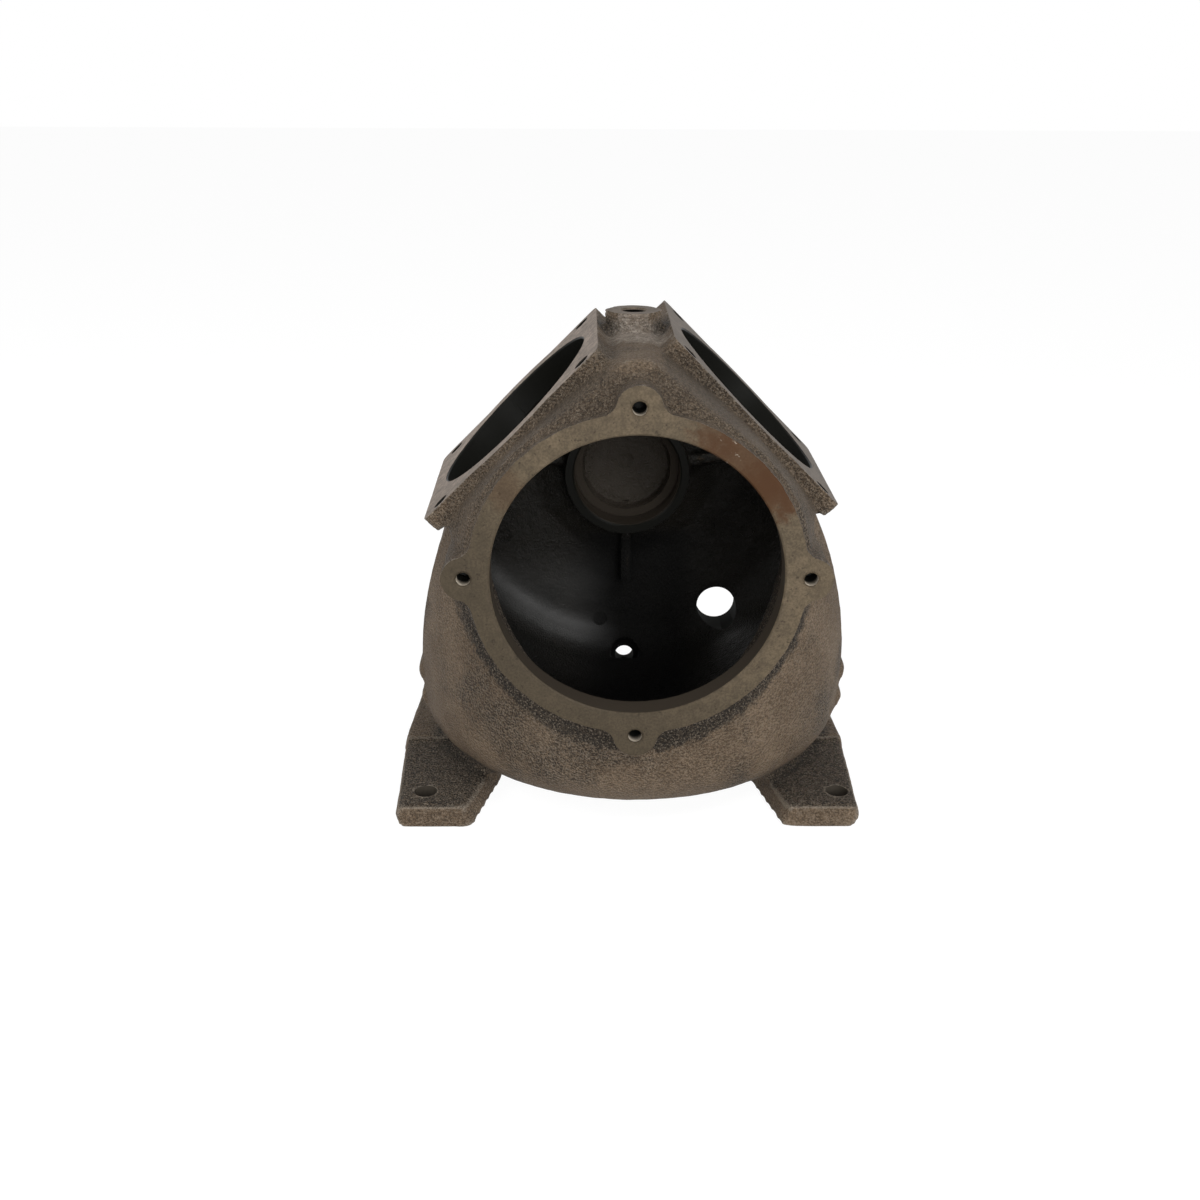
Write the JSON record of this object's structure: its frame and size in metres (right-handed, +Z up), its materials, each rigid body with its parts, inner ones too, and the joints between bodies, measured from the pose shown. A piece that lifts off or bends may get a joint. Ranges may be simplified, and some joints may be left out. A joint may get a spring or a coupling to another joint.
{
  "type": "air compressor crankcase",
  "caption": "Cast iron crankcase of a V-twin air compressor, with a bored front flange, angled cylinder seats, a blind rear bearing seat, a rounded oil sump and two side feet.",
  "frame": {"origin": "centre of the front opening, in the plane of the machined front face, on the crank axis", "axes": "+X to the right seen from the front, +Y back along the crank axis into the case, +Z up"},
  "size_m": [0.2504, 0.212, 0.2546],
  "materials": {
    "crankcase": "rough sand-cast skin with machined faces and bores"
  },
  "bodies": {
    "root": {"crankcase": "crankcase"}
  },
  "joints": []
}
